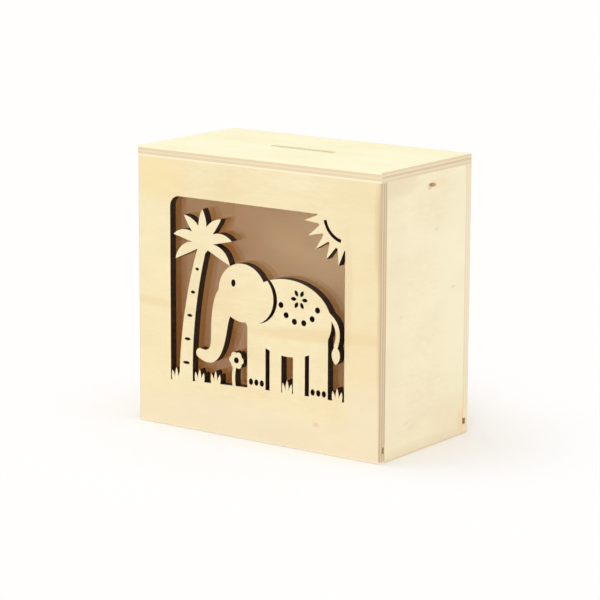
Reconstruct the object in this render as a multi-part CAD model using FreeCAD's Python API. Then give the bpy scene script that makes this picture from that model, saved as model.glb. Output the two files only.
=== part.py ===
import math
import os

import FreeCAD, Part

V = FreeCAD.Vector

# Wooden money box, in millimetres. The origin is on the floor under the middle of the box,
# the pierced front looks along -Y, and the bottom draws out along -X.

# Case
boxWidth = 146.0
boxDepth = 78.0
boxHeight = 140.0
wallThickness = 4.5     # five-ply front, back and sides
topThickness = 5.0      # five-ply top board
frontArris = 1.2        # sanded corners and foot of the front panel
backArris = 0.4         # and of the back panel
topArris = 0.6          # sanded rim and corners of the top board
easedEdge = 0.3         # rubbed edge of the sides' outer faces, the strips and the bottom

# Coin slot, along the width in the middle of the top board
slotLength = 38.0
slotWidth = 4.5

# Window in the front panel
windowWidth = 105.2
windowHeadRail = 18.0   # wood left above the window
windowSillLeft = 24.0   # height of the ground line at its left end
windowSillRight = 27.5  # and at its right end
windowSwell = 1.0       # how far the ground line arches between its ends
windowCorner = 5.5      # radius of the two upper corners

# Clear pane behind the window and the strips that hold it
paneThickness = 2.0
paneClearance = 0.3     # at the pane's sides and head
beadSize = 5.0          # square strips
sillRise = 1.0          # from the groove up to the strip under the pane

# Sliding bottom in the grooves of front and back
bottomThickness = 2.7
grooveFloor = 5.0                  # from the floor up to the groove
grooveDepth = wallThickness / 2    # half of the board is left behind the groove
slideClearance = 0.15              # above, below and beside the bottom board
bottomSetback = 0.3                # from the right side to the bottom board's end
thumbRadius = 9.0                  # half-moon recess to draw the bottom by
thumbDepth = 1.5
thumbInset = 7.0                   # from the bottom board's free end to the recess

# Figures that stand in the window, sawn from the same sheet
rootDepth = 3.0         # how far a figure runs on into the wood that carries it

# Palm
palmPlace = -43.0       # middle of its foot
palmHeight = 69.0
palmLean = 10.5         # how far its crown stands to the right of its foot
palmFootWidth = 8.5
palmNeckWidth = 5.0
crownRadius = 3.6
frondLength = 18.5
frondWidth = 5.0
frondBend = 2.6         # how far a level frond is bowed
frondCount = 7
frondFirstAngle = 205.0
frondLastAngle = -25.0
ringCount = 5           # slits across the trunk
ringThickness = 1.5
ringMargin = 1.6        # wood left at each end of a slit

# Elephant
elephantPlace = 19.0    # middle of its body
bodyHeight = 37.0       # from the ground to the middle of the body
bodyHalfLength = 26.0
bodyHalfHeight = 19.0
headReach = 27.0        # from the middle of the body to the middle of the head
headHeight = 46.0
headRadius = 14.5
trunkRootWidth = 13.0
trunkTipWidth = 5.0
earSlit = 2.2
earBow = 10.2           # how far the slit behind the ear swells
eyeHalfWidth = 1.3
eyeHalfHeight = 1.8
nearLegWidth = 11.0
nearLegSpread = 18.5    # from the middle of the body to the middle of the leg
farLegWidth = 7.0
farLegSpread = 7.0
nailHalfWidth = 1.25
nailHalfHeight = 1.6
nailRise = 2.6          # from the ground to the middle of a nail
nailPitch = 3.3
nailCount = 3
tailWidth = 2.4
tailReach = 5.0         # how far the tail hangs clear of the rump
tailDrop = 10.0         # from the rump to the tassel
tasselLength = 9.0
clothPlace = 7.0        # saddle cloth, from the middle of the body
clothRise = 10.0
clothRadius = 11.5      # its hem is a row of holes
clothHole = 1.5
clothCount = 6
clothFirstAngle = 200.0
clothLastAngle = 340.0
rosetteRadius = 5.0     # flower of petal holes on the cloth
rosetteHeart = 1.6
rosettePetal = 1.9
rosetteCount = 6

# Quarter sun in the upper right corner
sunRadius = 16.0
sunRayLength = 8.0
sunRayWidth = 5.4
sunRayCount = 5
sunSlit = 1.7
sunRim = 3.2            # wood left outside the slit
sunSlitFirstAngle = 192.0
sunSlitLastAngle = 258.0

# Flower and grass
flowerPlace = -12.5
flowerHeight = 13.0
flowerRadius = 4.4
flowerHole = 1.5
flowerPetalCount = 6
flowerPetalRadius = 1.85
flowerSway = 0.8        # how far the stem bends from side to side
stemWidth = 1.9
tuftPlaces = (-49.0, -34.5, -24.5, 19.0, 48.5)
bladeCount = 3
bladeSpread = 2.6       # from blade to blade at their tips
bladeHeight = 6.5
bladeWidth = 2.0

# Places that follow from the sizes above
halfWidth = boxWidth / 2
halfDepth = boxDepth / 2
wallHeight = boxHeight - topThickness
innerHalfWidth = halfWidth - wallThickness
innerDepth = boxDepth - 2 * wallThickness
innerFront = -halfDepth + wallThickness
halfWindow = windowWidth / 2
windowHead = wallHeight - windowHeadRail
grooveHeight = bottomThickness + 2 * slideClearance
grooveTop = grooveFloor + grooveHeight
sillBottom = grooveTop + sillRise
sillTop = sillBottom + beadSize


def block(x, y, z, width, depth, height):
    return Part.makeBox(width, depth, height, V(x, y, z))


def softened(solid, radius, isChosen):
    return solid.makeFillet(radius, [edge for edge in solid.Edges if isChosen(edge.BoundBox)])


def onFront(x, z):
    return V(x, -halfDepth, z)


def polar(x, z, radius, degrees):
    turn = math.radians(degrees)
    return x + radius * math.cos(turn), z + radius * math.sin(turn)


def spread(first, last, count):
    """Evenly spaced values from first to last."""
    return [first + (last - first) * number / max(count - 1, 1) for number in range(count)]


def groundLevel(x):
    """Height of the ground line: a straight rise with one shallow arch over it."""
    along = (x + halfWindow) / windowWidth
    rise = (windowSillRight - windowSillLeft) * along
    return windowSillLeft + rise + 4 * windowSwell * along * (1 - along)


def sawn(*edges):
    """A shape with this outline, as thick as the front panel."""
    return Part.Face(Part.Wire([edge.toShape() for edge in edges])).extrude(V(0, wallThickness, 0))


def disc(x, z, radius):
    return sawn(Part.Circle(onFront(x, z), V(0, 1, 0), radius))


def oval(x, z, halfLength, halfHeight):
    sides = sorted([(halfLength, V(1, 0, 0)), (halfHeight, V(0, 0, 1))], key=lambda side: side[0])
    (minor, minorAxis), (major, majorAxis) = sides
    middle = onFront(x, z)
    return sawn(Part.Ellipse(middle + majorAxis * major, middle + minorAxis * minor, middle))


def bowed(start, end, bow):
    """An arc from start to end that swells this far to its left, or a straight line for no swell."""
    aside = (end - start).cross(V(0, 1, 0)).normalize() * bow
    flat = abs(bow) < 1e-6
    return Part.LineSegment(start, end) if flat else Part.Arc(start, (start + end) / 2 + aside, end)


def petal(root, tip, leftBow, rightBow):
    """Two arcs from root to tip, each bowed that far to its side of the straight line."""
    start, end = onFront(*root), onFront(*tip)
    return sawn(bowed(start, end, leftBow), bowed(end, start, rightBow))


def smoothLine(points):
    line = Part.BSplineCurve()
    line.interpolate(points)
    return line


def stroke(points, rootWidth, tipWidth):
    """A band along a smooth line through the points, tapering evenly to a round tip."""
    places = [onFront(*point) for point in points]
    line = smoothLine(places)
    left, right = [], []
    for place, width in zip(places, spread(rootWidth, tipWidth, len(places))):
        along = line.tangent(line.parameter(place))[0]
        aside = along.cross(V(0, 1, 0)).normalize() * (width / 2)
        left.append(place + aside)
        right.append(place - aside)
    tip = places[-1] + along * (tipWidth / 2)
    return sawn(smoothLine(left), Part.Arc(left[-1], tip, right[-1]), smoothLine(right[::-1]),
                Part.LineSegment(right[0], left[0]))


def arcSlit(x, z, innerRadius, outerRadius, firstAngle, lastAngle):
    angles = spread(firstAngle, lastAngle, 3)
    inner, outer = [[onFront(*polar(x, z, radius, angle)) for angle in angles]
                    for radius in (innerRadius, outerRadius)]
    return sawn(Part.Arc(*outer), Part.LineSegment(outer[2], inner[2]),
                Part.Arc(*inner[::-1]), Part.LineSegment(inner[0], outer[0]))


def palm():
    ground = groundLevel(palmPlace)
    foot = (palmPlace, ground - rootDepth)
    waist = (palmPlace + palmLean / 4, ground + palmHeight / 2)
    crown = (palmPlace + palmLean, ground + palmHeight)
    wood = [stroke([foot, waist, crown], palmFootWidth, palmNeckWidth), disc(*crown, crownRadius)]
    for angle in spread(frondFirstAngle, frondLastAngle, frondCount):
        bow = frondBend * math.cos(math.radians(angle))
        tip = polar(*crown, frondLength, angle)
        wood.append(petal(crown, tip, frondWidth / 2 + bow, frondWidth / 2 - bow))
    holes = []
    line = smoothLine([onFront(*point) for point in (foot, waist, crown)])
    places = spread(line.FirstParameter, line.LastParameter, ringCount + 2)
    widths = spread(palmFootWidth, palmNeckWidth, ringCount + 2)
    for place, width in list(zip(places, widths))[1:-1]:
        middle = line.value(place)
        half = width / 2 - ringMargin
        ends = (middle.x - half, middle.z), (middle.x + half, middle.z)
        holes.append(petal(*ends, ringThickness / 2, ringThickness / 2))
    return wood, holes


def elephant():
    ground = groundLevel(elephantPlace)

    def body(x, z):
        return elephantPlace + x, ground + z

    def head(x, z):     # counted in head radii from the middle of the head
        return body(headRadius * x - headReach, headRadius * z + headHeight)

    wood = [oval(*body(0, bodyHeight), bodyHalfLength, bodyHalfHeight), disc(*head(0, 0), headRadius)]
    trunkLine = [head(-0.35, 0), head(-0.9, -0.8), head(-1.02, -1.6), head(-1.3, -2.3), head(-1.8, -2.3)]
    wood.append(stroke(trunkLine, trunkRootWidth, trunkTipWidth))
    holes = [petal(head(0.62, 0.8), head(0.7, -0.95), earBow + earSlit / 2, earSlit / 2 - earBow),
             oval(*head(-0.38, 0.3), eyeHalfWidth, eyeHalfHeight)]
    for side in (-1, 1):
        for legSpread, width in ((nearLegSpread, nearLegWidth), (farLegSpread, farLegWidth)):
            leg = [body(side * legSpread, bodyHeight), body(side * legSpread, -rootDepth)]
            wood.append(stroke(leg, width, width))
        for number in range(nailCount):
            place = side * nearLegSpread + nailPitch * (number - (nailCount - 1) / 2)
            holes.append(oval(*body(place, nailRise), nailHalfWidth, nailHalfHeight))
    rump = bodyHalfLength - tailWidth
    tail = [body(rump, bodyHeight + tailReach), body(rump + tailReach, bodyHeight),
            body(rump + tailReach, bodyHeight - tailDrop)]
    tassel = body(rump + tailReach, bodyHeight - tailDrop - tasselLength)
    wood += [stroke(tail, tailWidth, tailWidth), petal(tail[-1], tassel, tailWidth, tailWidth)]
    cloth = body(clothPlace, bodyHeight + clothRise)
    for angle in spread(clothFirstAngle, clothLastAngle, clothCount):
        holes.append(disc(*polar(*cloth, clothRadius, angle), clothHole))
    for number in range(rosetteCount):
        angle = 360 * number / rosetteCount
        inner, outer = polar(*cloth, rosetteHeart, angle), polar(*cloth, rosetteRadius, angle)
        holes.append(petal(inner, outer, rosettePetal / 2, rosettePetal / 2))
    return wood, holes


def sun():
    centre = (halfWindow, windowHead)
    wood = [disc(*centre, sunRadius)]
    rayFoot = sunRadius - sunRim / 2
    half = math.degrees(sunRayWidth / 2 / sunRadius)
    for number in range(sunRayCount):
        angle = 180 + 90 * (number + 0.5) / sunRayCount
        corners = [onFront(*polar(*centre, radius, turn)) for radius, turn in (
            (rayFoot, angle - half), (sunRadius + sunRayLength, angle), (rayFoot, angle + half))]
        wood.append(sawn(*[Part.LineSegment(corners[k - 1], corners[k]) for k in range(3)]))
    outer = sunRadius - sunRim
    return wood, [arcSlit(*centre, outer - sunSlit, outer, sunSlitFirstAngle, sunSlitLastAngle)]


def flower():
    ground = groundLevel(flowerPlace)
    heart = (flowerPlace + flowerSway, ground + flowerHeight)
    stem = [(flowerPlace, ground - rootDepth), (flowerPlace - flowerSway, ground + flowerHeight / 2), heart]
    wood = [stroke(stem, stemWidth, stemWidth)]
    inner = flowerRadius - flowerPetalRadius
    for number in range(flowerPetalCount):
        wood.append(disc(*polar(*heart, inner, 360 * number / flowerPetalCount), flowerPetalRadius))
    return wood + [disc(*heart, inner)], [disc(*heart, flowerHole)]


def grass():
    wood = []
    for place in tuftPlaces:
        for lean in spread(-1, 1, bladeCount):
            root = (place + lean * bladeSpread / 2, groundLevel(place) - rootDepth)
            height = bladeHeight * (1 - abs(lean) / 4)    # the outer blades are a quarter shorter
            tip = (place + lean * bladeSpread, groundLevel(place) + height)
            wood.append(petal(root, tip, bladeWidth / 2, bladeWidth / 2))
    return wood, []


def windowOpening():
    left, right = onFront(-halfWindow, groundLevel(-halfWindow)), onFront(halfWindow, groundLevel(halfWindow))
    shoulder, head = windowHead - windowCorner, windowHead
    bevel = windowCorner * (1 - math.sqrt(0.5))
    arcs = []
    for side in (-1, 1):
        arcs.append(Part.Arc(onFront(side * halfWindow, shoulder),
                             onFront(side * (halfWindow - bevel), head - bevel),
                             onFront(side * (halfWindow - windowCorner), head)))
    return sawn(Part.LineSegment(left, arcs[0].StartPoint), arcs[0],
                Part.LineSegment(arcs[0].EndPoint, arcs[1].EndPoint), arcs[1],
                Part.LineSegment(arcs[1].StartPoint, right),
                Part.Arc(right, onFront(0, groundLevel(0)), left))


def isBelowTop(box):
    """True for an edge that isn't in the joint under the top board, which is sanded flush."""
    return box.ZMin < wallHeight - 1e-6


def plainWall(y, outward, arris):
    """A front or back wall whose outer face, on the side it looks to, has sanded corners and foot."""
    wall = block(-halfWidth, y, 0, boxWidth, wallThickness, wallHeight)
    outer = outward * halfDepth
    return softened(wall, arris, lambda box: isBelowTop(box)
                    and abs(box.YMin - outer) + abs(box.YMax - outer) < 1e-6)


def groove(y):
    return block(-halfWidth, y, grooveFloor, boxWidth, grooveDepth, grooveHeight)


def frontPanel():
    blank = plainWall(-halfDepth, -1, frontArris)
    figures, holes = [], []
    for motif in (palm, elephant, sun, flower, grass):
        wood, pierced = motif()
        figures += wood
        holes += pierced
    scene = figures[0].multiFuse(figures[1:]).common(blank)
    panel = blank.cut(windowOpening()).fuse(scene).removeSplitter()
    return panel.cut(holes + [groove(innerFront - grooveDepth)])


def backPanel():
    return plainWall(halfDepth - wallThickness, 1, backArris).cut(groove(halfDepth - wallThickness))


def side(x, low, outward):
    """A side board from this height up, whose outer face has rubbed edges."""
    board = block(x, innerFront, low, wallThickness, innerDepth, wallHeight - low)
    outer = outward * halfWidth
    return softened(board, easedEdge, lambda box: isBelowTop(box)
                    and abs(box.XMin - outer) + abs(box.XMax - outer) < 1e-6)


def topBoard():
    board = block(-halfWidth, -halfDepth, wallHeight, boxWidth, boxDepth, topThickness)
    board = softened(board, topArris, lambda box: box.ZMax > boxHeight - 1e-6)
    return board.cut(block(-slotLength / 2, -slotWidth / 2, wallHeight, slotLength, slotWidth, topThickness))


def slidingBottom():
    width = innerDepth + 2 * (grooveDepth - slideClearance)
    length = halfWidth + innerHalfWidth - bottomSetback
    low = grooveFloor + slideClearance
    board = block(-halfWidth, -width / 2, low, length, width, bottomThickness)
    board = softened(board, easedEdge, lambda box: True)
    recess = Part.makeCylinder(thumbRadius, thumbDepth, V(-halfWidth + thumbInset, 0, low), V(0, 0, 1), 180)
    recess.rotate(V(-halfWidth + thumbInset, 0, low), V(0, 0, 1), -90)
    return board.cut(recess)


def windowPane():
    half = innerHalfWidth - paneClearance
    return block(-half, innerFront, sillTop, 2 * half, paneThickness, wallHeight - paneClearance - sillTop)


def strip(x, y, z, length, height):
    """A square strip along the width or the height; the edges that look into the box are rubbed."""
    back = y + beadSize
    wood = block(x, y, z, length, beadSize, height)
    return softened(wood, easedEdge, lambda box: abs(box.YMin - back) + abs(box.YMax - back) < 1e-6)


def paneSill():
    return strip(-innerHalfWidth, innerFront, sillBottom, 2 * innerHalfWidth, beadSize)


def bead(x):
    return strip(x, innerFront + paneThickness, sillTop, beadSize, wallHeight - sillTop)


pieces = {
    "top_board": topBoard(),
    "front_panel": frontPanel(),
    "back_panel": backPanel(),
    "left_side": side(-halfWidth, grooveTop, -1),
    "right_side": side(innerHalfWidth, 0, 1),
    "sliding_bottom": slidingBottom(),
    "window_pane": windowPane(),
    "pane_sill": paneSill(),
    "left_bead": bead(-innerHalfWidth),
    "right_bead": bead(innerHalfWidth - beadSize),
}

os.makedirs("parts", exist_ok=True)
for name, shape in pieces.items():
    print(name, "solids", len(shape.Solids), "valid", shape.isValid(), "mm3", round(shape.Volume, 1))
    shape.exportStep("parts/" + name + ".step")
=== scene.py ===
import math

import bpy
import numpy as np
from mathutils import Matrix, Vector


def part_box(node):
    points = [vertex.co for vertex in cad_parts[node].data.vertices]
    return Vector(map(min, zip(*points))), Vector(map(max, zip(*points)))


# Wooden money box: bare plywood boards, a front with burnt fretwork, a clear pane and pine strips.
# Lengths are metres in the frame of the solids; mm turns a length in millimetres into metres.

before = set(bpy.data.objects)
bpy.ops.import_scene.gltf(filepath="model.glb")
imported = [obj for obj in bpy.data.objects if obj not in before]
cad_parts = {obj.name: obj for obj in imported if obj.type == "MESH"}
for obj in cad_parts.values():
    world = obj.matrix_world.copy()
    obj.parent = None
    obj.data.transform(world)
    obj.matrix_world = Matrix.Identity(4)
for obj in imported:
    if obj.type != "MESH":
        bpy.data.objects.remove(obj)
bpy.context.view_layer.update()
mm = 0.001


def paint(red, green, blue):                # a colour as seen on screen, 0 to 255, made linear (sRGB curve)
    levels = np.array([red, green, blue]) / 255
    linear = np.where(levels < 0.04045, levels / 12.92, ((levels + 0.055) / 1.055) ** 2.4)
    return (*linear.tolist(), 1.0)


class Wire:                                 # a socket in a node tree; sums on it add Math nodes
    def __init__(self, tree, socket=None):
        self.tree = tree
        self.socket = socket

    def node(self, kind, settings=None, sockets=None, out=0):
        made = self.tree.nodes.new("ShaderNode" + kind)
        for key, value in (settings or {}).items():
            if key == "stops":
                fillRamp(made.color_ramp.elements, value)
            else:
                setattr(made, key, value)
        for key, value in (sockets or {}).items():
            if isinstance(value, Wire):
                self.tree.links.new(value.socket, made.inputs[key])
            else:
                made.inputs[key].default_value = value
        return Wire(self.tree, made.outputs[out] if len(made.outputs) else None)

    def output(self, name):                 # another output of the same node
        return Wire(self.tree, self.socket.node.outputs[name])

    def maths(self, operation, *values):
        return self.node("Math", {"operation": operation}, dict(enumerate(values)))

    def __add__(self, other):
        return self.maths("ADD", self, other)

    def __sub__(self, other):
        return self.maths("SUBTRACT", self, other)

    def __rsub__(self, other):
        return self.maths("SUBTRACT", other, self)

    def __mul__(self, other):
        return self.maths("MULTIPLY", self, other)

    def __truediv__(self, other):
        return self.maths("DIVIDE", self, other)

    def __pow__(self, other):
        return self.maths("POWER", self, other)

    def __abs__(self):
        return self.maths("ABSOLUTE", self)

    __radd__ = __add__

    def centred(self):                      # noise from 0 to 1, moved to lie round 0
        return self - 0.5

    def step(self, start, end):             # 0 at start, 1 at end, smooth between, whichever is higher
        return self.node("MapRange", {"interpolation_type": "SMOOTHSTEP"},
                         {"Value": self, "From Min": start, "From Max": end})

    def lay(self, under, over):             # this mask lays one colour over another; 6 and 7 are colours
        return self.node("Mix", {"data_type": "RGBA"}, {0: self, 6: under, 7: over}, out=2)


def fillRamp(elements, stops):              # a new ramp has its first stops already
    for number, (position, colour) in enumerate(stops):
        element = elements[number] if number < len(elements) else elements.new(position)
        element.position = position
        element.color = colour


def splitAxes(wire, vector):                # x, y and z of a vector
    parts = wire.node("SeparateXYZ", None, {0: vector})
    return [parts.output(number) for number in range(3)]


def axisNumbers(letters):                   # "xzy" gives 0, 2, 1
    return ["xyz".index(letter) for letter in letters]


def newMaterial(name):
    made = bpy.data.materials.new(name)
    made.use_nodes = True
    made.node_tree.nodes.clear()
    return made, Wire(made.node_tree)


def dress(node, material):                  # the solid keeps its mesh and gets this finish
    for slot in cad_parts[node].material_slots:
        slot.material = material


# Camera: where the photograph was taken from, on a long lens
photoView = {
    "azimuth": 35.805,                      # degrees round from the front
    "elevation": 11.744,
    "roll": 0.243,
    "distance": 1.3327,
    "aim": (-0.001647, 0.0, 0.064178),
    "lens": 161.1,                          # millimetres, as is the width of the sensor
    "sensor": 36,
}


def awayFrom(azimuth, elevation):           # unit vector towards a place round and above the box
    turn = math.radians(azimuth)
    rise = math.radians(elevation)
    return Vector((math.sin(turn) * math.cos(rise), -math.cos(turn) * math.cos(rise), math.sin(rise)))


def makeCamera(view):
    back = awayFrom(view["azimuth"], view["elevation"])
    right = Vector((-back.y, back.x, 0)).normalized()
    up = back.cross(right)
    roll = math.radians(view["roll"])
    rolledRight = right * math.cos(roll) + up * math.sin(roll)
    rolledUp = up * math.cos(roll) - right * math.sin(roll)
    data = bpy.data.cameras.new("camera")
    data.lens = view["lens"]
    data.sensor_width = view["sensor"]
    camera = bpy.data.objects.new("camera", data)
    turned = Matrix((rolledRight, rolledUp, back)).transposed().to_4x4()
    camera.matrix_world = Matrix.Translation(Vector(view["aim"]) + back * view["distance"]) @ turned
    bpy.context.scene.collection.objects.link(camera)
    bpy.context.scene.camera = camera


makeCamera(photoView)
print("camera: placed")

# Studio: an even white tent, soft lamps and a white floor that keeps the shadow
studio = {
    "tent": 0.55,                           # light of the tent on the object
    "tentColour": (1, 1, 1, 1),
    "woodBounces": 12,                      # how often light is passed on inside the box
    "floorHalf": 6.0,
    "floorCells": 8,                        # squares along a side
    "floorColour": (0.985, 0.967, 0.954, 1),
    "floorSeen": (1.0, 0.992, 0.978, 1),    # white that the camera and the pane see
    "floorFade": (0.06, 0.18),              # metres from the middle of the box where the floor turns white
    "frontFade": (-0.036, -0.06),           # y in front of the box where it turns mostly white
    "frontWhite": 0.75,                     # share of white there
    "lampAim": (0, 0, 0.06),
    "lamps": {                              # degrees round and up, then metres and watts
        "keyLamp": {"azimuth": -72, "elevation": 62, "distance": 1.6, "size": 1.0, "power": 4.4},
        "fillLamp": {"azimuth": 24, "elevation": 14, "distance": 1.8, "size": 0.6, "power": 6.6},
        "sideLamp": {"azimuth": 88, "elevation": 9, "distance": 1.8, "size": 0.6, "power": 3.3},
        "topLamp": {"azimuth": 0, "elevation": 90, "distance": 1.8, "size": 2.4, "power": 12.6},
    },
}


def seenDirectly(wire):                     # 1 for what the camera, a reflection or the pane shows
    camera = wire.node("LightPath", out="Is Camera Ray")
    glossy = camera.maths("MAXIMUM", camera, camera.output("Is Glossy Ray"))
    return camera.maths("MAXIMUM", glossy, camera.output("Is Transmission Ray"))


def floorMaterial(look):                    # takes shadows near the box and is white further out
    made, wire = newMaterial("whiteFloor")
    lit = wire.node("BsdfDiffuse", None, {"Color": look["floorColour"]})
    white = wire.node("Emission", None, {"Color": look["floorSeen"]})
    place = wire.node("TexCoord", out="Object")
    reach = wire.node("VectorMath", {"operation": "LENGTH"}, {0: place}, out="Value")
    y = splitAxes(wire, place)[1]
    ahead = y.step(*look["frontFade"]) * look["frontWhite"]
    whiteShare = seenDirectly(wire) * reach.maths("MAXIMUM", reach.step(*look["floorFade"]), ahead)
    mixed = wire.node("MixShader", None, {0: whiteShare, 1: lit, 2: white})
    wire.node("OutputMaterial", None, {"Surface": mixed})
    return made


def makeFloor(look):
    # A flat square: x and y run over the grid, z stays at the floor
    count = look["floorCells"] + 1
    side = np.linspace(-look["floorHalf"], look["floorHalf"], count)
    x, y = np.meshgrid(side, side, indexing="ij")
    corners = np.stack([x, y, np.zeros_like(x)], axis=-1).reshape(-1, 3)
    corner = np.arange(count * count).reshape(count, count)
    quads = np.stack([corner[:-1, :-1], corner[1:, :-1], corner[1:, 1:], corner[:-1, 1:]], axis=-1)
    mesh = bpy.data.meshes.new("floor")
    mesh.from_pydata(corners.tolist(), [], quads.reshape(-1, 4).tolist())
    mesh.materials.append(floorMaterial(look))
    floor = bpy.data.objects.new("floor", mesh)
    bpy.context.scene.collection.objects.link(floor)


def makeTent(look):
    world = bpy.data.worlds.new("tent")
    world.use_nodes = True
    world.node_tree.nodes.clear()
    bpy.context.scene.world = world
    wire = Wire(world.node_tree)
    strength = look["tent"] + seenDirectly(wire) * (1 - look["tent"])
    glow = wire.node("Background", None, {"Color": look["tentColour"], "Strength": strength})
    wire.node("OutputWorld", None, {"Surface": glow})


def makeLamp(name, look, aim):
    data = bpy.data.lights.new(name, "AREA")
    data.shape = "DISK"
    data.size = look["size"]
    data.energy = look["power"]
    lamp = bpy.data.objects.new(name, data)
    away = awayFrom(look["azimuth"], look["elevation"])
    lamp.location = Vector(aim) + away * look["distance"]
    lamp.rotation_euler = (-away).to_track_quat("-Z", "Y").to_euler()
    bpy.context.scene.collection.objects.link(lamp)


makeFloor(studio)
makeTent(studio)
for name, look in studio["lamps"].items():
    makeLamp(name, look, studio["lampAim"])
bpy.context.scene.view_settings.view_transform = "Standard"
bpy.context.scene.cycles.diffuse_bounces = studio["woodBounces"]
print("studio: floor, tent and", len(studio["lamps"]), "lamps")

# Wood figure: noise drawn out along the grain
figureRoughness = 0.55                      # how strong the finer noise in it is


def figure(along, across, through, shift=0.0, detail=2.0):  # lengths in millimetres; shift sets figures apart
    return {"lengths": (along * mm, across * mm, through * mm), "shift": shift, "detail": detail}


def drawnNoise(wire, place, order, look, seed):
    scale = [0.0, 0.0, 0.0]
    for axis, length in zip(order, look["lengths"]):
        scale[axis] = 1 / length
    moved = [seed + look["shift"]] * 3
    spot = wire.node("VectorMath", {"operation": "MULTIPLY_ADD"}, {0: place, 1: scale, 2: moved})
    return wire.node("TexNoise", None, {"Vector": spot, "Scale": 1.0, "Detail": look["detail"],
                                        "Roughness": figureRoughness})


def woodShader(wire, look, colour, roughness, height):
    bump = wire.node("Bump", None, {"Strength": look["bumpStrength"], "Distance": look["bumpHeight"],
                                    "Height": height})
    shader = wire.node("BsdfPrincipled", None, {"Base Color": colour, "Roughness": roughness,
                                                "Normal": bump, "Specular IOR Level": look["specular"]})
    wire.node("OutputMaterial", None, {"Surface": shader})


veneer = {                                  # faces of the boards
    "cloud": figure(42, 19, 3),             # broad drifts of tone
    "cloudDepth": 0.95,
    "fleck": figure(6, 1.6, 3, shift=7.7),  # short dashes along the grain
    "fleckDepth": 0.5,
    "fibre": figure(16, 0.7, 3, shift=3.1, detail=4.0),
    "fibreDepth": 0.22,
    "toneMiddle": 0.5,
    "toneStops": (0.1, 0.5, 0.95),          # where the pale, middle and deep tones lie
    "inside": (paint(255, 232, 179), paint(255, 226, 169), paint(250, 211, 148)),   # painted light: warmer, brighter tones that stand in for the light inside the box
    "insideFacing": (0.3, 0.8),             # how far a face is turned inward to have them
    "pore": figure(2.4, 0.17, 3, shift=11.3, detail=1.0),   # short dark lines along the grain
    "poreRange": (0.62, 0.74),
    "poreDepth": 0.14,
    "poreDent": 0.6,                        # share of the bump
    "poreColour": paint(205, 170, 118),
    "roughness": 0.58,
    "roughnessSpread": 0.2,
    "specular": 0.3,
    "bumpStrength": 0.25,
    "bumpHeight": 0.12 * mm,
}

plies = {                                   # edges of the boards; widths are shares of a ply
    "count": 5,
    "edgeFacing": (0.97, 0.8),              # how far a wall is turned from the face to be an edge
    "endFacing": (0.45, 0.55),              # and along the grain to be an end
    "outerSoft": 0.1,
    "glue": paint(193, 160, 125),
    "glueReach": (0.112, 0.035),            # from a seam: where the glue begins and where it is full
    "glueFrom": (0.4, 0.7),                 # from a face: the same, so that no glue lies on it
    "glueDepth": 0.3,
    "wander": figure(9, 9, 40, shift=5.2),  # how the plies ripple along an edge
    "wanderDepth": 0.25,
    "speck": figure(0.35, 0.35, 0.22, shift=2.3, detail=1.0),
    "speckDepth": 0.55,
}

cuts = {                                    # walls of the fretwork, burnt by the cutting beam
    "dark": paint(33, 23, 19),
    "light": paint(66, 46, 37),
    "streak": figure(0.5, 0.5, 6, shift=9.4, detail=3.0),
    "streakRange": (0.3, 0.7),
    "plyDepth": 0.25,
    "soft": 1 * mm,                         # rim of the part of a board that the cuts lie in
}

paintedShade = {                                   # painted shade in the groove of front and back, and at the foot of every board
    "groove": (5 * mm, 8 * mm),             # heights above the floor
    "grooveDepth": 2.25 * mm,
    "grooveShade": paint(206, 164, 112),
    "soft": 0.05 * mm,
    "footHeight": 1.7 * mm,
    "foot": (paint(190, 162, 130), 0.24),   # painted shade at the foot: colour and depth, unless a board has its own
}


class Board:                                # what the layers of one board's finish work from
    def __init__(self, node, look):
        self.look = look
        self.material, self.wire = newMaterial(node + "Plywood")
        self.order = axisNumbers(look["axes"])
        self.lowest, self.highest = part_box(node)
        self.place = self.wire.node("TexCoord", out="Object")
        self.axes = splitAxes(self.wire, self.place)
        self.along, self.across, self.through = (self.axes[number] for number in self.order)
        normal = splitAxes(self.wire, self.wire.node("NewGeometry", out="Normal"))
        self.endwise = normal[self.order[0]]                # how far a face is turned along the grain
        self.facewise = normal[self.order[2]]               # and through the thickness

    def noise(self, look):
        return drawnNoise(self.wire, self.place, self.order, look, self.look["seed"])


def mark(along, across, halfLength, halfWidth, colour, depth, core=0.0, tilt=0.0):  # millimetres on a board
    return {"oval": (along * mm, across * mm, halfLength * mm, halfWidth * mm),
            "colour": colour, "depth": depth, "core": core, "tilt": tilt}


def markMask(board, spot):                  # soft oval; core is how much of it is even
    alongPlace, acrossPlace, halfLength, halfWidth = spot["oval"]
    along = (board.along - alongPlace) / halfLength
    across = (board.across - acrossPlace) / halfWidth - along * (spot["tilt"] * halfLength / halfWidth)
    return (along * along + across * across).step(1.0, spot["core"]) * spot["depth"]


def toned(tone, tones):                     # colours of pale, middle and deep wood along a tone
    return tone.node("ValToRGB", {"stops": list(zip(veneer["toneStops"], tones))}, {0: tone})


def faceColour(board, fibre, pore):         # drifts, flecks and fibres set the tone, pores and marks follow
    tone = veneer["toneMiddle"] + board.noise(veneer["cloud"]).centred() * veneer["cloudDepth"]
    tone = tone + fibre.centred() * veneer["fibreDepth"]
    tone = tone + board.noise(veneer["fleck"]).centred() * veneer["fleckDepth"]
    # Inward faces take the painted-light tones.
    isInside = (board.facewise * board.look["inward"]).step(*veneer["insideFacing"])
    colour = isInside.lay(toned(tone, board.look["tones"]), toned(tone, veneer["inside"]))
    colour = (pore * veneer["poreDepth"]).lay(colour, veneer["poreColour"])
    for spot in board.look.get("marks", []):                # on the outer face alone
        colour = (markMask(board, spot) * (1 - isInside)).lay(colour, spot["colour"])
    return colour


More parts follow.
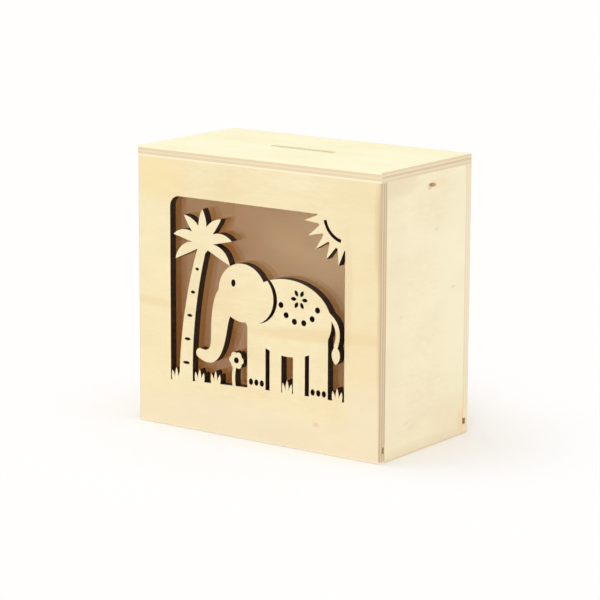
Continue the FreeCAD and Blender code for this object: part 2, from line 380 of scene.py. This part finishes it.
def edgeLayers(board):                      # plies of crossed grain, the end grain darker, glue between them
    look = board.look
    count = look.get("plies", plies["count"])
    lowest = board.lowest[board.order[2]]
    thickness = board.highest[board.order[2]] - lowest
    ripple = board.noise(plies["wander"]).centred() * plies["wanderDepth"]
    depth = (board.through - lowest) * (count / thickness) + ripple         # counted in plies
    crossed = depth.maths("MODULO", abs(depth.maths("FLOOR", depth)), 2.0)  # 1 in every second ply
    isEnd = abs(board.endwise).step(*plies["endFacing"])
    endGrain = abs(isEnd - crossed) * (1 + board.noise(plies["speck"]).centred() * plies["speckDepth"])
    outer = count / 2 - 1                   # plies from the middle to the outer ones
    isOuter = abs(depth - count / 2).step(outer - plies["outerSoft"], outer + plies["outerSoft"])
    sideColour = isOuter.lay(look.get("innerPly", look["facePly"]), look["facePly"])
    boardEnd = isOuter.lay(look["endPly"], look.get("faceEnd", look["endPly"]))
    endColour = isEnd.lay(look.get("crossPly", look["endPly"]), boardEnd)
    start, full = plies["glueFrom"]
    inBoard = depth.step(start, full) * depth.step(count - start, count - full)
    seam = abs(depth - depth.maths("ROUND", depth)).step(*plies["glueReach"])
    glue = seam * inBoard * plies["glueDepth"]
    return glue.lay(endGrain.lay(sideColour, endColour), plies["glue"]), glue, crossed


# Painted shade: the walls of the groove take a darker colour.
def layGrooveShade(board, colour):
    inward = board.look["inward"]
    low, high = paintedShade["groove"]
    deep = paintedShade["grooveDepth"]
    soft = paintedShade["soft"]
    y, z = board.axes[1:]
    innerFace = (board.highest if inward > 0 else board.lowest)[1]
    sunk = y * inward - innerFace * inward  # 0 at the inner face, less within the board
    inGroove = z.step(low - soft, low) * z.step(high + soft, high)
    inGroove = inGroove * sunk.step(-deep - soft, -deep) * sunk.step(0.0, -soft)
    return inGroove.lay(colour, paintedShade["grooveShade"])


# Painted shade along the foot of a board; the front's own paler foot is painted light.
def layFoot(board, colour):
    footColour, footDepth = board.look.get("foot", paintedShade["foot"])
    z = board.axes[2]
    return (z.step(paintedShade["footHeight"], 0.0) * footDepth).lay(colour, footColour)


def layCuts(board, colour, isEdge, crossed):                # burnt in the fretwork; in the coin slot fresh wood, painted paler than the plies as painted light
    (left, right), (bottom, top) = board.look["cut"]
    soft = cuts["soft"]
    within = board.along.step(left, left + soft) * board.along.step(right, right - soft)
    within = within * board.across.step(bottom, bottom + soft) * board.across.step(top, top - soft)
    streak = board.noise(cuts["streak"]).step(*cuts["streakRange"])
    soot = streak * (1 - cuts["plyDepth"]) + crossed * cuts["plyDepth"]
    return (isEdge * within).lay(colour, soot.lay(*board.look["cutColours"]))


def plywood(node, look):
    board = Board(node, look)
    fibre = board.noise(veneer["fibre"])
    pore = board.noise(veneer["pore"]).step(*veneer["poreRange"])
    edgeColour, glue, crossed = edgeLayers(board)
    isEdge = abs(board.facewise).step(*plies["edgeFacing"])
    colour = isEdge.lay(faceColour(board, fibre, pore), edgeColour)
    if look.get("grooved"):
        colour = layGrooveShade(board, colour)
    colour = layFoot(board, colour)
    if "cut" in look:
        colour = layCuts(board, colour, isEdge, crossed)
    roughness = veneer["roughness"] + fibre.centred() * veneer["roughnessSpread"]
    height = fibre - pore * veneer["poreDent"] - isEdge * glue
    woodShader(board.wire, veneer, colour, roughness, height)
    return board.material


# Boards: axes are along the grain, across it and through the thickness. Inward is the way to the inside,
# and seed sets a board's figure apart. Cut is the part of a board that has cuts, along and across it.
# Tones are pale, middle and deep wood. A mark lies over the ones before it.
knotBrown = paint(124, 84, 46)
knotHalo = paint(232, 178, 120)
grainBand = paint(238, 212, 160)
stain = paint(214, 178, 128)
fleckTan = paint(206, 184, 142)
boards = {
    "front_panel": {
        "axes": "xzy", "inward": 1, "seed": 1.0, "grooved": True,
        "tones": (paint(251, 238, 200), paint(246, 230, 188), paint(237, 217, 170)),
        "facePly": paint(228, 209, 173),
        "endPly": paint(201, 180, 146),
        "foot": (paint(255, 250, 238), 0.85),               # paler, lit by the floor
        "cut": ((-60 * mm, 60 * mm), (15 * mm, 125 * mm)),
        "cutColours": (cuts["dark"], cuts["light"]),
        "marks": [
            mark(-70, 70, 34, 140, paint(251, 235, 191), 0.4),              # painted light, paler to the left
            mark(72, 70, 40, 140, paint(240, 221, 178), 0.5),               # painted shade, deeper to the right
            mark(-10, 6, 100, 18, paint(246, 231, 203), 0.7),
            mark(-62, 126, 26, 14, paint(250, 226, 165), 0.5),
            mark(36.2, 14, 2.4, 1.5, paint(234, 206, 168), 0.75),           # rosy spot
            mark(63, 25.1, 1.3, 2.6, paint(228, 208, 162), 0.4),
            mark(73.2, 67, 2.3, 100, stain, 0.6),                           # stain along the corner
            mark(72.5, 112, 4.2, 32, stain, 0.45),
            mark(73.2, 112, 1.7, 36, paint(186, 152, 104), 0.5),
            mark(53.6, 78, 4.2, 42, paint(236, 212, 170), 0.55),            # scorched beside the window
            mark(66, 16, 20, 30, paint(246, 231, 202), 0.6),
            mark(18, 6, 28, 9, paint(240, 226, 190), 0.55),
            mark(40, 58, 60, 4.5, grainBand, 0.6, tilt=0.06),
            mark(-64, 62.5, 50, 3, grainBand, 0.45, tilt=-0.06),
        ],
    },
    "back_panel": {
        "axes": "xzy", "inward": -1, "seed": 4.0, "grooved": True,
        "tones": (paint(251, 240, 208), paint(247, 232, 193), paint(240, 218, 173)),
        "facePly": paint(253, 238, 204),
        "endPly": paint(240, 225, 195),
        "marks": [
            mark(38, 92, 3.4, 1.3, knotHalo, 0.5),
            mark(38, 92, 1.8, 0.7, knotBrown, 0.8, core=0.3),
        ],
    },
    "right_side": {
        "axes": "yzx", "inward": -1, "seed": 7.0,
        "tones": (paint(254, 245, 212), paint(250, 238, 205), paint(242, 227, 190)),
        "facePly": paint(242, 226, 190),
        "endPly": paint(226, 207, 172),
        "marks": [
            mark(40, 75, 34, 130, paint(254, 247, 214), 0.5),               # paler to the back
            mark(-38, 75, 24, 130, paint(244, 228, 195), 0.45),             # deeper to the front
            mark(24, 8, 28, 20, paint(243, 223, 188), 0.45),
            # painted shade under the front of the top board
            mark(-32, 133, 30, 9, paint(235, 217, 183), 0.6),
            # painted shade along the foot
            mark(0, 0, 55, 7, paint(234, 214, 182), 0.35),
            mark(33, 7.1, 5, 7, paint(232, 190, 120), 0.25),
            mark(10.5, 129.2, 9, 3.2, paint(252, 226, 178), 0.5),           # warm wood behind the knot
            mark(4, 128.8, 4.8, 1.9, knotHalo, 0.3),
            mark(1.9, 127.7, 2.4, 1.1, paint(200, 172, 128), 0.45),
            mark(4, 129, 3.8, 1.2, knotBrown, 0.85, core=0.1, tilt=-0.12),  # the knot and its paler heart
            mark(5.1, 128.7, 2.1, 0.75, paint(204, 170, 118), 0.75, tilt=-0.12),
            mark(8.3, 106.8, 2.6, 1.1, fleckTan, 0.2),
            mark(24, 76.3, 2.2, 1.0, fleckTan, 0.3),
            mark(-21.3, 68.5, 2.2, 1.0, fleckTan, 0.2),
            mark(-16.2, 15.8, 2.8, 1.1, fleckTan, 0.2),
        ],
    },
    "left_side": {
        "axes": "yzx", "inward": 1, "seed": 10.0,
        "tones": (paint(251, 242, 211), paint(247, 234, 199), paint(240, 221, 180)),
        "facePly": paint(242, 226, 190),
        "endPly": paint(226, 207, 172),
    },
    "top_board": {
        "axes": "xyz", "inward": -1, "seed": 13.0,
        "tones": (paint(250, 245, 213), paint(247, 241, 203), paint(242, 231, 184)),
        "facePly": paint(255, 242, 207),
        "innerPly": paint(243, 224, 190),
        "endPly": paint(222, 204, 171),
        "faceEnd": paint(231, 214, 181),
        "crossPly": paint(234, 216, 181),
        "cut": ((-25 * mm, 25 * mm), (-9 * mm, 9 * mm)),
        # Coin slot walls: fresh wood, painted paler than the plies as painted light in the narrow slot.
        "cutColours": (paint(255, 250, 220), paint(255, 246, 208)),
    },
    "sliding_bottom": {
        "axes": "xyz", "inward": 0, "seed": 16.0, "plies": 3,
        "tones": (paint(251, 241, 209), paint(246, 231, 192), paint(238, 216, 170)),
        "facePly": paint(242, 226, 190),
        "endPly": paint(222, 203, 168),
    },
}

for node, look in boards.items():
    dress(node, plywood(node, look))
    print("plywood:", node)

# Pine strips: straight grain along the strip
pine = {
    "pale": paint(247, 228, 180),
    "deep": paint(226, 186, 122),
    "ring": figure(70, 1.1, 1.1, detail=1.0),
    "ringRange": (0.35, 0.65),
    "fibre": figure(9, 0.25, 0.25, shift=3.0, detail=3.0),
    "fibreDepth": 0.4,
    "roughness": 0.6,
    "specular": 0.3,
    "bumpStrength": 0.25,
    "bumpHeight": 0.1 * mm,
}
strips = {                                  # name of the finish, then axes and seed as for a board
    "pane_sill": ("sillPine", "xyz", 21.0),
    "left_bead": ("leftBeadPine", "zxy", 24.0),
    "right_bead": ("rightBeadPine", "zxy", 27.0),
}


def pineWood(name, axes, seed, look):
    made, wire = newMaterial(name)
    place = wire.node("TexCoord", out="Object")
    order = axisNumbers(axes)
    ring = drawnNoise(wire, place, order, look["ring"], seed).step(*look["ringRange"])
    fibre = drawnNoise(wire, place, order, look["fibre"], seed)
    tone = ring * (1 - look["fibreDepth"]) + fibre * look["fibreDepth"]
    woodShader(wire, look, tone.lay(look["pale"], look["deep"]), look["roughness"], fibre)
    return made


for node, strip in strips.items():
    dress(node, pineWood(*strip, pine))
    print("pine:", node)

# Clear pane: mirrors a little more at a glancing angle, with faint wipe marks
pane = {
    "mirror": 0.062,                        # seen square on, at each face
    "glancePower": 5,                       # how late it rises towards a glancing angle
    "clear": (0.995, 0.995, 0.99, 1),
    "gloss": (1.0, 0.83, 0.65, 1),          # tint of what it mirrors
    "glossRoughness": 0.02,
    "axes": "xzy",
    "seed": 30.0,
    "wipe": figure(30, 9, 30, detail=3.0),
    "wipeRange": (0.45, 0.75),
    "wipeDepth": 0.02,
}


def clearPlastic(look):
    made, wire = newMaterial("clearPlastic")
    place = wire.node("TexCoord", out="Object")
    wipe = drawnNoise(wire, place, axisNumbers(look["axes"]), look["wipe"], look["seed"])
    glance = wire.node("LayerWeight", out="Facing") ** look["glancePower"]
    mirror = look["mirror"] + glance * (1 - look["mirror"])
    mirror = mirror + wipe.step(*look["wipeRange"]) * look["wipeDepth"]
    clear = wire.node("BsdfTransparent", None, {"Color": look["clear"]})
    gloss = wire.node("BsdfAnisotropic", None, {"Color": look["gloss"],
                                                "Roughness": look["glossRoughness"]})
    mixed = wire.node("MixShader", None, {0: mirror, 1: clear, 2: gloss})
    wire.node("OutputMaterial", None, {"Surface": mixed})
    return made


dress("window_pane", clearPlastic(pane))
print("pane: clear plastic")
